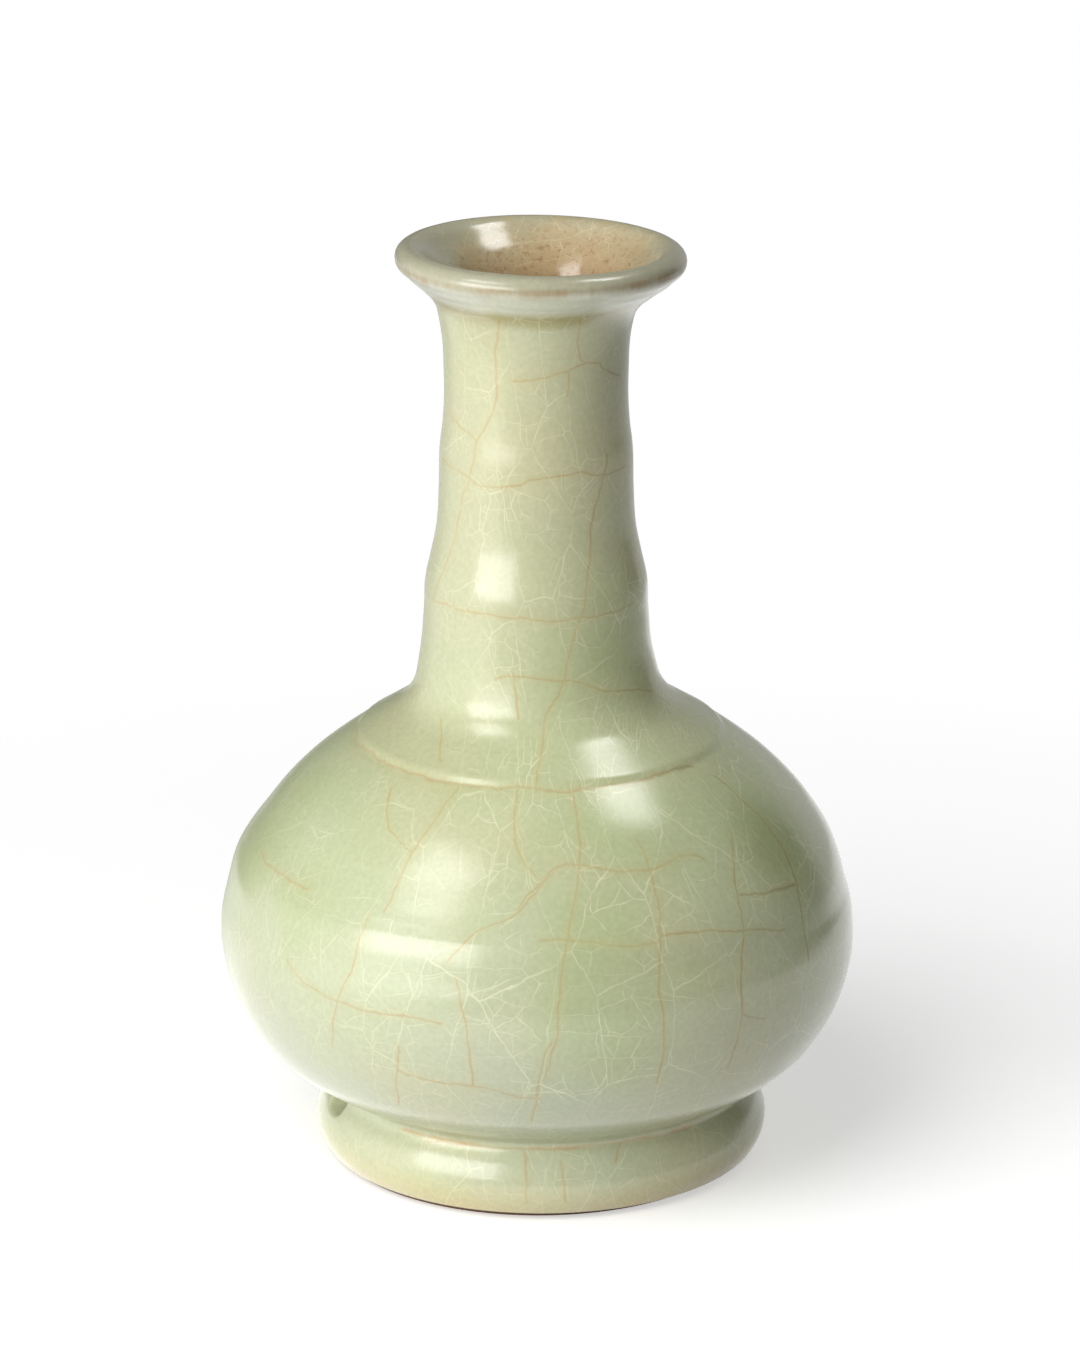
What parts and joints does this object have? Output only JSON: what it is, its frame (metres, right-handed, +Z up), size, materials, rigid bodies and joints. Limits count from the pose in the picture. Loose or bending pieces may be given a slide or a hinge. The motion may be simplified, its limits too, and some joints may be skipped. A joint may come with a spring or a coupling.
{
  "type": "bottle vase",
  "caption": "Globular stoneware bottle vase with a tall ringed neck, trumpet mouth and splayed foot with cord holes, under crackled celadon glaze; holds flower stems.",
  "frame": {"origin": "middle of the standing ring, on the surface that the vase stands on", "axes": "+Z up along the axis of the vase, X through the two cord holes in the foot"},
  "size_m": [0.1126, 0.1126, 0.165],
  "materials": {
    "stoneware": "fired dark grey-brown stoneware, bare only on the standing edge",
    "luting_slip": "fired slip, hidden in the joints",
    "celadon_glaze": "thick grey-green celadon with stained crackle",
    "inside_glaze": "thinner, browner celadon with stained crackle"
  },
  "bodies": {
    "root": {"foot_ring": "stoneware", "lower_body": "stoneware", "upper_body": "stoneware", "neck": "stoneware", "mouth_rim": "stoneware", "foot_luting": "luting_slip", "girth_luting": "luting_slip", "neck_luting": "luting_slip", "mouth_luting": "luting_slip", "outer_glaze": "celadon_glaze", "inner_glaze": "inside_glaze", "base_glaze": "celadon_glaze"}
  },
  "joints": []
}
